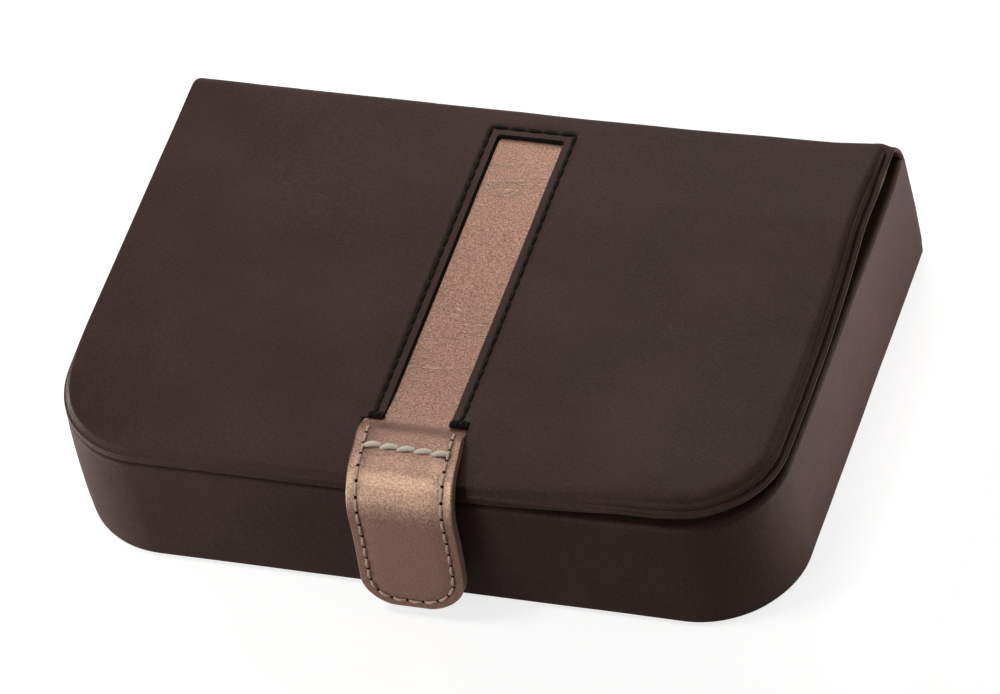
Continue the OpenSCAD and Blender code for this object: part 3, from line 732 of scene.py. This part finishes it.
def wallSheet():
    # profile (d, z) with d the depth inside the outer face: the face runs from 0 at the foot to
    # rimIn at the rim and bellies out by belly sin(pi v) between
    rim, foot, rimR, footR = (wall[key] for key in ("rim", "foot", "rimR", "footR"))
    inner, skin, t, rimIn = (wall[key] for key in ("thick", "leather", "turned", "rimIn"))
    turnEnd = rim - wall["rimTurn"]
    rising = np.linspace(0, 1, 22)
    faceZ = foot + footR + (rim - rimR - foot - footR) * rising
    faceD = rimIn * rising - wall["belly"] * np.sin(np.pi * np.clip(rising, 0, 1)) ** 0.8
    aFoot = np.radians(np.linspace(90, 0, 7)[:-1])
    aRim = np.radians(np.linspace(0, 90, 9)[1:])
    outside = np.vstack([
        [[wall["footTurn"], foot], [6.5, foot], [4.0, foot]],
        np.column_stack([footR - footR * np.cos(aFoot), foot + footR - footR * np.sin(aFoot)]),
        np.column_stack([faceD, faceZ]),
        np.column_stack([rimIn + rimR - rimR * np.cos(aRim), rim - rimR + rimR * np.sin(aRim)])])
    overRim = np.array([[inner - 0.9, rim], [inner - 0.45, rim - 0.08], [inner - 0.13, rim - 0.35],
                        [inner, rim - 0.8], [inner, rim - 4.0], [inner, turnEnd]])
    inside = np.array([[inner - t, turnEnd], [inner - t, rim - 4.0], [inner - t, rim - t], [1.7, rim - t],
                       [skin + 0.2, rim - 2.6], [skin + 0.05, 15.0], [skin + 0.2, foot + t + 0.6],
                       [1.9, foot + t], [4.0, foot + t], [wall["footTurn"], foot + t]])
    d, v = np.vstack([outside, overRim, inside]).T
    halfW, front, back, r = (wall[key] for key in ("halfW", "front", "back", "cornerR"))
    path = np.vstack([
        lineTo((-halfW, back), (-halfW, front + r), 44),
        arcTo((-(halfW - r), front + r), r, 180, 270, 34),
        lineTo((-(halfW - r), front), (halfW - r, front), 60),
        arcTo((halfW - r, front + r), r, -90, 0, 34),
        stepsAlong(np.array([(halfW, front + r), (halfW, back)]), 45)])
    inward = leftNormals(path)
    along, high = np.meshgrid(np.arange(len(path)) * 1.1, v, indexing="ij")
    dents = wall["dents"] * waves(along, high, 21, 30) * (np.arange(len(v)) < len(outside))
    place = path[:, None] + inward[:, None] * d[None, :, None] + inward[:, None] * np.abs(dents)[..., None]
    z = high - wall["rimDip"] * (1 + waves(along, along * 0, 22, 60)) * (high > rim - 1.0)
    for (x, y, rise, width), level, run in ((wall["backRise"], 20, 10.0), (wall["frontRise"], 8, 22.0)):
        z = z + rise * bell(np.hypot(place[..., 0] - x, place[..., 1] - y), width) * ease((z - level) / run)
    return tube("wallLeather", np.concatenate([place, z[..., None]], -1))


wallLeather = dress(wallSheet(), "dark_leather", "case", ("wall_cover",))
print("wall leather", len(wallLeather.data.polygons), "faces")


# The strap, in flat coordinates: a across it, s along its outer face from the rear end of the inlay
# to the tip. The line runs in the window, climbs through the slit, bends and hangs.

strap = dict(
    halfW=12.35, top=1.0, body=1.9, bodyFrom=-42.6, bodyDown=0.06, tipLeft=8.5, tipRight=11.0, tipRun=13.0,
    edgeR=0.42, seamIn=2.4, pitch=3.75, inlayZ=strapLow[2] + 0.62, rearY=49.4, soft=1.5,
    climbFrom=-30.0, climb=(-39.5, 0.8), slitTop=(-44.5, 38.5), bendR=9.0, bendFrom=79.2, rampTilt=0.188,
    groove=0.24, puff=0.34, inlayPuff=0.15, crossDip=0.32, crease=(0.07, 0.08), wave=0.06)


def strapLine():
    # y and z of the outer face; bend centre and radius follow the solids, and the climb is softened
    rear, inlay, bendR = strap["rearY"], strap["inlayZ"], strap["bendR"]
    bendY, bendZ = tabLow[1] + bendR, tabHigh[2]
    tilt, tip = strap["rampTilt"], tabLow[2]
    climb = (strap["climb"][0], inlay + strap["climb"][1])
    path = np.vstack([
        lineTo((rear, inlay), (strap["climbFrom"], inlay), 40),
        lineTo((strap["climbFrom"], inlay), climb, 8),
        lineTo(climb, strap["slitTop"], 8),
        lineTo(strap["slitTop"], (bendY + bendR * np.sin(tilt), bendZ + bendR * np.cos(tilt)), 8),
        arcTo((bendY, bendZ), bendR, strap["bendFrom"], 180, 30),
        lineTo((bendY - bendR, bendZ), (bendY - bendR, tip), 20),
        [(bendY - bendR, tip)]])
    return soften(path, strap["soft"])


strapPath = strapLine()
strapLength, strapNormal = wayAlong(strapPath), -leftNormals(strapPath)
strapEnd = strapLength[-1]


def strapAt(y0):
    # way s of the first point in front of y0
    return strapLength[np.argmax(strapPath[:, 0] < y0)]


# how far the strap leans to the right at the ways s, smoothed by a bell
slitS, crossS, bendS = strapAt(-41.0), strapAt(-50.2), strapAt(-61.0)
skewStops = np.array([[0, -0.2], [slitS, -0.2], [crossS, 2.0], [bendS, 3.9], [bendS + 12, 4.1], [strapEnd, 2.3]])
kernel = bell(np.arange(-150, 151) * 0.1, 6.0)
skewLine = np.pad(np.interp(strapLength, skewStops[:, 0], skewStops[:, 1]), 150, "edge")
skewLine = np.convolve(skewLine, kernel / kernel.sum(), "valid")


def strapPoints(a, s, h):
    # the frame at s, moved sideways by the skew and up by the lid's lift
    y, z = (np.interp(s, strapLength, strapPath[:, k]) for k in (0, 1))
    ny, nz = (np.interp(s, strapLength, strapNormal[:, k]) for k in (0, 1))
    x = a + np.interp(s, strapLength, skewLine)
    z = z + lidLift(0 * x, y) * ease((y + 52) / 12.0)
    return np.stack([x, y + ny * h, z + nz * h], -1)


def strapOut(s):
    # outward direction at s
    ny, nz = (np.interp(s, strapLength, strapNormal[:, k]) for k in (0, 1))
    out = np.stack([0 * ny, ny, nz], -1)
    return out / np.linalg.norm(out, axis=-1)[..., None]


def strapSide(s, radius, wider=0.0):
    # half width on one side: straight, then a quarter round at the tip
    q = np.clip(strapEnd - s, 0, radius)
    return strap["halfW"] + wider - radius + np.sqrt(np.maximum(radius ** 2 - (radius - q) ** 2, 0))


def strapInset(a, s):
    # distance inside the outline of the strap; its rear end lies far behind
    radius = np.where(a < 0, strap["tipLeft"], strap["tipRight"])
    return -roundedDistance(a, s, strap["halfW"], -500.0, strapEnd, radius)


def strapLayer(name, s0, top, thick, puff, wider=0.0, taper=0.0):
    # section: across with round edges, raised by the puff, and back underneath; at the tip the
    # thickness closes along a quarter round
    tip = strapEnd - strap["tipRun"] * (1 - np.sin(np.linspace(0, 1, 34) * np.pi / 2))
    s = np.concatenate([np.arange(s0, strapEnd - strap["tipRun"], 0.8), tip])
    across = np.sin(np.linspace(-1, 1, 33) * np.pi / 2)
    arc = np.radians(np.linspace(90, -90, 9))[1:-1]
    r = min(thick / 2, strap["edgeR"] if thick < 1.3 else thick / 2)
    close = np.sqrt(np.clip(1 - (1 - np.clip((strapEnd - s) / r, 0, 1)) ** 2, 0.03, 1))
    grow = ease((s - s0) / taper) if taper else np.ones_like(s)
    t = thick * (0.12 + 0.88 * grow)
    rk = np.minimum(r, t / 2) * close
    leftW, rightW = (np.maximum(strapSide(s, strap[key], wider) - rk, 0.02)[:, None]
                     for key in ("tipLeft", "tipRight"))
    middle, lift, rk = (-thick / 2 + (thick - t) / 2)[:, None], (t / 2 * close)[:, None], rk[:, None]
    a = np.where(across[None] < 0, across[None] * leftW, across[None] * rightW)
    flat = np.stack([a, middle + lift + puff(a, s[:, None] + 0 * a) * close[:, None]], -1)
    bow = rk * np.cos(arc)[None]
    high = middle + np.where(arc > 0, lift - rk, rk - lift) + rk * np.sin(arc)
    right = np.stack([rightW + bow, high], -1)
    left = np.stack([-leftW - bow, high], -1)[:, ::-1]
    back = np.linspace(1, -1, 7)[None]
    backA = np.where(back < 0, back * leftW, back * rightW)
    under = np.stack([backA, middle - lift + 0 * backA], -1)
    section = np.concatenate([flat, right, under, left], 1)
    return tube(name, strapPoints(section[..., 0], s[:, None] + 0 * section[..., 0], section[..., 1] + top))


def foilPuff(a, s):
    # padded centre with a groove along the edge seam, creases over the bend
    inset = strapInset(a, s)
    doubled = ease((s - slitS) / 4.0)
    groove = -strap["groove"] * bell(inset - strap["seamIn"], 0.55) * doubled
    centre = strap["puff"] * ease((inset - strap["seamIn"]) / 3.5) * doubled
    overBend = bell(s - (crossS + 8), 6.0) * ease((inset - 3.2) / 2.0)
    creases = waves(a * 0.6, s, 31, 3.2, 9) * strap["crease"][0] + waves(a, s, 32, 9.0) * strap["crease"][1]
    crossDip = -strap["crossDip"] * bell(s - crossS, 0.8) * ease((inset - 1.6) / 1.0)
    softWave = strap["wave"] * waves(a, s, 33, 24.0) * ease(inset / 3.0)
    inlay = strap["inlayPuff"] * (1 - (a / strap["halfW"]) ** 2) * (1 - doubled)
    return groove + centre + creases * overBend + crossDip + inlay + softWave * doubled


strapFoil = strapLayer("strapFoil", 0.0, 0.0, strap["top"], foilPuff)
strapBody = strapLayer("strapBody", strapAt(strap["bodyFrom"]), -strap["top"] + strap["bodyDown"], strap["body"],
                       lambda a, s: 0 * a, wider=0.12, taper=3.0)
dress(strapFoil, "metallic_leather", None, ("strap_leather", "strap_bend", "tab_leather"))
dress(strapBody, "tan_leather", None, ("strap_core", "strap_lining", "tab_core", "tab_lining"))

for part in (strapFoil, strapBody):
    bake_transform(part)
print("strap", round(strapEnd, 1), "mm long")


# Seams: radius of the thread, how far a stitch rises over and sinks under the leather, and the share
# of the pitch that it covers.

seams = dict(
    edge=dict(radius=0.36, rise=0.42, sink=0.06, share=0.84),
    cross=dict(radius=0.78, rise=0.50, sink=0.05, share=1.02, slant=0.26),
    window=dict(radius=0.50, rise=0.38, sink=0.0, share=0.92), windowPitch=3.4,
    tack=dict(radius=0.36, rise=0.42, sink=0.0, flat=0.95),
    mirror=dict(radius=0.26, rise=0.2, sink=0.05), mirrorPitch=3.0, holeR=0.42)


def seamOnStrap(name, flat, finish, radius, rise, sink, share, slant=0.0):
    # stitches between neighbouring points of a line given in flat strap coordinates
    a, b = (strapPoints(*end.T) for end in (flat[:-1], flat[1:]))
    middle, half = (a + b) / 2, (b - a) / 2 * share
    out = strapOut((flat[:-1, 1] + flat[1:, 1]) / 2)
    lean = np.cross(half, out) * slant
    return dress(addStitches(name, middle - half + lean, middle + half - lean, out, radius, rise, sink),
                 finish)


def edgeSeamLine():
    # both long edges and the tip, inset by seamIn, in steps of one stitch
    inset = strap["seamIn"]
    x, end = strap["halfW"] - inset, strapEnd - inset
    rl, rr = strap["tipLeft"] - inset, strap["tipRight"] - inset
    line = np.vstack([
        lineTo((-x, slitS + 1.5), (-x, end - rl), 60),
        arcTo((-(x - rl), end - rl), rl, 180, 90, 30),
        lineTo((-(x - rl), end), (x - rr, end), 10),
        arcTo((x - rr, end - rr), rr, 90, 0, 40),
        lineTo((x, end - rr), (x, slitS + 0.5), 60), [(x, slitS + 0.5)]])
    points = stepsAlong(line, step=strap["pitch"])
    return np.column_stack([points, np.full(len(points), -0.06)])


def needleHoles(name, flat, radius):
    # shallow dark discs in painted shade where the thread goes in: a low dome on every stitch end
    centre = strapPoints(*flat.T)
    out = strapOut(flat[:, 1])
    side = np.tile([1.0, 0, 0], (len(flat), 1))
    ahead = np.cross(out, side)
    phi = np.linspace(0, 2 * np.pi, 10, endpoint=False)
    ring = side[:, None] * np.cos(phi)[None, :, None] + ahead[:, None] * np.sin(phi)[None, :, None]
    rings = [centre[:, None] + ring * radius * scale + out[:, None] * high
             for scale, high in ((1.0, -0.25), (1.0, 0.02), (0.75, 0.07), (0.25, 0.085), (0.02, 0.086))]
    return manyRods(name, np.stack(rings, 1), np.array([[0, 9, 8, 1], [1, 8, 7, 2], [2, 7, 6, 3], [3, 6, 5, 4]]))


edgeLine = edgeSeamLine()
crossX = np.linspace(-strap["halfW"] + 2.6, strap["halfW"] - 2.2, 6)
crossLine = np.column_stack([crossX, np.full(6, crossS) + np.linspace(-0.3, 0.3, 6), np.full(6, 0.05)])
edgeSeam = seamOnStrap("edgeSeam", edgeLine, taupeThread, **seams["edge"])
crossSeam = seamOnStrap("crossSeam", crossLine, creamThread, **seams["cross"])
strapHoles = dress(needleHoles("strapHoles", edgeLine[1:-1], seams["holeR"]), holeShade)
for part in (edgeSeam, crossSeam, strapHoles):
    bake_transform(part)


def onLidTop(flat):
    # points on the lid leather, and the way up at each
    x, w = flat.T
    return lidPoints(x, w, lidHeight(x, w)), np.tile([0.0, 0, 1.0], (len(flat), 1))


def seamOnLid(name, x, w, radius, rise, sink, share):
    p, out = onLidTop(np.column_stack([x, w]))
    middle, half = (p[:-1] + p[1:]) / 2, (p[1:] - p[:-1]) / 2 * share
    piece = addStitches(name, middle - half, middle + half, out[1:], radius, rise, sink)
    dress(piece, blackThread, "lid")


def barTack(name, x0, x1, w):
    # tight satin stitches side by side over the ends of the window seam
    p, out = onLidTop(np.column_stack([np.linspace(x0, x1, 9), np.full(9, w)]))
    ahead = np.array([0, 0.95, 0])
    piece = addStitches(name, p - ahead, p + ahead + [0.25, 0, 0], out, **seams["tack"])
    dress(piece, blackThread, "lid")


windowX = lid["winX"] + lid["seamAt"]
rearW = lid["winRear"] + lid["seamAt"] - lid["foldY"]
frontW = lid["winFront"] - lid["foldY"] + 0.8
sideCount = int(round((rearW - frontW) / seams["windowPitch"])) + 1
sideW = np.linspace(frontW, rearW, sideCount)
seamOnLid("windowSeamLeft", np.full(sideCount, -windowX), sideW, **seams["window"])
seamOnLid("windowSeamRight", np.full(sideCount, windowX), sideW, **seams["window"])
seamOnLid("windowSeamRear", np.linspace(-windowX, windowX, 6), np.full(6, rearW), **seams["window"])
barTack("barTackLeft", -11.0, -8.0, frontW - 0.1)
barTack("barTackRight", 8.2, 11.9, frontW - 0.4)
print("seams ready")


# The inside: fold lining, floor pad, ring rolls and mirror frame.

inside = dict(
    liningHalfW=76.5, liningT=0.6, liningGap=2.3, liningIn=1.5,
    padCorner=19.0, padPuff=0.5, padEdge=4.0, padSpine=45,
    bays=((-79.4, 79.4, -51.9, -18.9), (7.2, 79.4, -16.3, 17.3), (7.2, 79.4, 19.9, 52.9)),
    rollEnd=2.6, rollSag=0.35, rollWaist=0.02, frameLap=8.0, frameR=(9.5, 1.5), frameBead=0.7, frameSeam=0.82)
floorLow, floorHigh = boxMm("floor_lining")
liningLow, liningHigh = boxMm("fold_lining")


def foldLiningSheet():
    # a thin sheet carried along its line: up the back wall, round the fold, under the lid board
    y, z, ring = lid["foldY"], lid["top"] - lid["foldR"], lid["foldR"] - inside["liningIn"]
    wallY, boardY, boardZ = liningHigh[1] - inside["liningGap"], y - 0.3, z + 2.4
    line = soften(np.vstack([
        lineTo((wallY, liningLow[2]), (wallY, z - 0.5), 20),
        lineTo((wallY, z - 0.5), (y + ring, z - 0.5), 6), arcTo((y, z), ring, 0, 90, 20),
        lineTo((y, z + ring), (boardY, z + ring), 3), lineTo((boardY, z + ring), (boardY, boardZ), 6),
        lineTo((boardY, boardZ), (liningLow[1], boardZ), 12), [(liningLow[1], boardZ)]]), 0.4)
    line = stepsAlong(line, step=0.5)
    normal = leftNormals(line)
    x = np.linspace(-1, 1, 60) * inside["liningHalfW"]
    across = np.concatenate([x, x[::-1]])
    side = np.repeat([0.5, -0.5], 60) * inside["liningT"]
    rings = np.stack([np.broadcast_to(across, (len(line), 120)), line[:, :1] + normal[:, :1] * side,
                      line[:, 1:] + normal[:, 1:] * side], -1)
    return tube("foldLining", rings)


foldLining = dress(foldLiningSheet(), "suede", None, ("fold_lining",))
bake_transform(foldLining)


def floorPadPiece():
    # the suede floor rises a little in the middle of every bay: puff (1 - exp(-distance / edge))
    y0, y1 = floorLow[1], floorHigh[1]
    outline = roundFront(floorHigh[0], y0, y1, inside["padCorner"], 40, 60, 90)

    def high(x, y):
        z = np.full(len(x), floorHigh[2])
        for xa, xb, ya, yb in inside["bays"]:
            near = np.minimum(np.minimum(x - xa, xb - x), np.minimum(y - ya, yb - y))
            z = z + inside["padPuff"] * (1 - np.exp(-np.maximum(near, 0) / inside["padEdge"]))
        return z

    return plate("floorPad", outline, inside["padSpine"], (y0 + y1) / 2, lambda x, y: floorLow[2] + 0 * x, high, 60)


floorPad = dress(floorPadPiece(), "suede", "case", ("floor_lining",))


def ringRoll(number):
    # section: straight sides under a half round; towards both ends it draws in by a quarter
    # circle, and the top sags a little in long waves
    low, high = boxMm("ring_roll_%d" % number)
    half, height, e = (high[1] - low[1]) / 2, high[2] - low[2], inside["rollEnd"]
    a = np.radians(np.linspace(0, 180, 25))
    rise = height - half
    section = np.vstack([
        lineTo((half, 0.4), (half, rise), 8), np.column_stack([half * np.cos(a), rise + half * np.sin(a)]),
        lineTo((-half, rise - 1.0), (-half, 0.4), 8), lineTo((-half + 0.4, 0), (half - 0.4, 0), 9)])
    turn = np.radians(np.linspace(0, 90, 9))
    x = np.concatenate([low[0] + e - e * np.cos(turn), np.linspace(low[0] + e, high[0] - e, 44)[1:-1],
                        high[0] - e + e * np.sin(turn)])
    draw = np.concatenate([e - e * np.sin(turn), np.zeros(42), e - e * np.cos(turn)])
    middle = np.array([0, height / 2])
    shrink = 1 - draw[:, None, None] / np.array([half, height / 2])
    p = middle + (section - middle)[None] * shrink
    waved = inside["rollSag"] * (0.5 + 0.5 * waves(x, x * 0 + 7.0 * number, 50 + number, 40))[:, None]
    p[..., 1] -= waved * ease((p[..., 1] - 3) / (height - 3))
    p[..., 0] *= 1 - inside["rollWaist"] * (1 - bell((x - x.mean()) / 60.0, 0.8))[:, None]
    rings = np.stack([np.broadcast_to(x[:, None], p.shape[:2]), (low[1] + high[1]) / 2 + p[..., 0],
                      low[2] + p[..., 1]], -1)
    piece = dress(tube("ringRoll%d" % number, rings), "suede", "case", ("ring_roll_%d" % number,))


for number in range(1, 6):
    ringRoll(number)


def roundedLoop(x, y, r):
    # a rounded rectangle round the origin
    return np.vstack([
        lineTo((0, -y), (x - r, -y), 20), arcTo((x - r, -y + r), r, -90, 0, 12),
        lineTo((x, -y + r), (x, y - r), 24), arcTo((x - r, y - r), r, 0, 90, 12),
        lineTo((x - r, y), (-(x - r), y), 40), arcTo((-(x - r), y - r), r, 90, 180, 12),
        lineTo((-x, y - r), (-x, -(y - r)), 24), arcTo((-(x - r), -(y - r)), r, 180, 270, 12),
        lineTo((-(x - r), -y), (0, -y), 20)])


def mirrorFramePiece():
    # section between the inner and the outer outline: flat on the glass, and rounded below by
    # bead (1 - |2t - 1| cubed)
    low, high = boxMm("mirror_frame")
    centre, half, lap = (low[:2] + high[:2]) / 2, (high[:2] - low[:2]) / 2, inside["frameLap"]
    outer, inner = (roundedLoop(*size, r) + centre for size, r in zip((half, half - lap), inside["frameR"]))
    t = np.linspace(0, 1, 17)
    bead = inside["frameBead"] * np.clip(1 - np.abs(2 * t - 1) ** 3, 0, 1) ** 0.6
    t, depth = np.concatenate([t, [0.96, 0.5, 0.04]]), np.concatenate([bead, [0, 0, 0]])
    p = inner[:, None] + (outer - inner)[:, None] * t[None, :, None]
    rings = np.concatenate([p, np.broadcast_to(high[2] - depth[None, :, None], p.shape[:2] + (1,))], -1)
    dress(tube("mirrorFrame", rings, closed=True), "frameLeather", "lid", ("mirror_frame",))
    seam = stepsAlong(inner + (outer - inner) * inside["frameSeam"], step=seams["mirrorPitch"], closed=True)
    a, b = (np.column_stack([q, np.full(len(q), low[2] + 0.08)]) for q in (seam, np.roll(seam, -1, 0)))
    middle, halfWay = (a + b) / 2, (b - a) * 0.42
    down = np.tile([0.0, 0, -1.0], (len(seam), 1))
    stitches = addStitches("mirrorSeam", middle - halfWay, middle + halfWay, down, **seams["mirror"])
    dress(stitches, taupeThread, "lid")


mirrorFramePiece()
print("inside ready")


# Lamps: power, size along and across, place, aim. The world and the floor are white to the camera,
# and a share of it in gloss.

light = dict(
    world=0.14, worldGloss=0.2, floorGloss=0.3, floorTone=0.42, floorGlow=0.76, floorHalf=9.0,
    tint=(1.0, 0.975, 0.95),
    lamps=dict(
        backLight=(0.56, (0.22, 0.22), (-0.04, 0.27, 0.25), (-0.03, 0.06, 0.02)),
        frontLight=(2.0, (0.50, 0.40), (-0.45, -0.85, 0.60), (0, 0, 0.02)),
        bendLight=(1.75, (0.15, 0.15), (-0.24, -0.17, 0.72), (0, -0.03, 0.03)),
        bounceRight=(0.12, (0.24, 0.030), (0.128, 0.075, 0.014), (0.10, 0.075, 0.036)),
        bounceLeft=(0.14, (0.14, 0.030), (-0.150, -0.062, 0.014), (-0.120, -0.052, 0.036))))


def makeFloor():
    size, tone, glow = light["floorHalf"], light["floorTone"], light["floorGlow"]
    mesh = bpy.data.meshes.new("floor")
    mesh.from_pydata([(-size, -size, 0), (size, -size, 0), (size, size, 0), (-size, size, 0)], [], [(0, 1, 2, 3)])
    floor = bpy.data.objects.new("floor", mesh)
    bpy.context.scene.collection.objects.link(floor)
    f = Finish("paleFloor", colour=(tone,) * 3, rough=0.9, specular=0.0, glowStrength=1.0)
    f.set(glow=f.mixed(f.whiteRays(light["floorGloss"]), (0, 0, 0), (glow,) * 3))
    floor.data.materials.append(f.material)


def softbox(name, power, size, at, aim):
    lamp = bpy.data.lights.new(name, "AREA")
    lamp.shape, lamp.energy, lamp.color = "RECTANGLE", power, light["tint"]
    lamp.size, lamp.size_y = size
    obj = bpy.data.objects.new(name, lamp)
    obj.location = at
    obj.rotation_euler = (Vector(aim) - Vector(at)).to_track_quat("-Z", "Y").to_euler()
    obj.visible_camera = False
    bpy.context.scene.collection.objects.link(obj)


def makeWorld():
    world = bpy.data.worlds.new("studio")
    world.use_nodes = True
    bpy.context.scene.world = world
    n = Nodes(world.node_tree)
    plain, white = (n.add("ShaderNodeBackground", {}, {"Color": (1, 1, 1, 1), "Strength": strength})
                    for strength in (light["world"], 1.0))
    mix = n.add("ShaderNodeMixShader", {}, {0: n.whiteRays(light["worldGloss"]), 1: plain, 2: white})
    n.add("ShaderNodeOutputWorld", {}, {"Surface": mix})


makeFloor()
for lampName, numbers in light["lamps"].items():
    softbox(lampName, *numbers)
makeWorld()
bpy.context.scene.view_settings.view_transform = "Standard"

view = dict(aim=(3.48, 0.884, 17.0), distance=1859.8, azimuth=28.415, elevation=46.747, roll=14.676,
            focalPixels=8304.6, width=1000, sensor=36.0)


def makeCamera():
    az, el, roll = np.radians([view["azimuth"], view["elevation"], view["roll"]])
    back = np.array([np.sin(az) * np.cos(el), -np.cos(az) * np.cos(el), np.sin(el)])
    right = np.array([np.cos(az), np.sin(az), 0])
    up = np.cross(back, right)
    basis = np.eye(4)
    basis[:3, 0] = right * np.cos(roll) - up * np.sin(roll)
    basis[:3, 1] = up * np.cos(roll) + right * np.sin(roll)
    basis[:3, 2] = back
    basis[:3, 3] = (np.array(view["aim"]) + view["distance"] * back) * mm
    camera = bpy.data.cameras.new("camera")
    camera.sensor_width = view["sensor"]
    camera.lens = view["focalPixels"] * view["sensor"] / view["width"]
    camera.clip_start, camera.clip_end = 0.05, 50
    obj = bpy.data.objects.new("camera", camera)
    bpy.context.scene.collection.objects.link(obj)
    obj.matrix_world = Matrix(basis.tolist())
    bpy.context.scene.camera = obj


makeCamera()
print("scene ready")
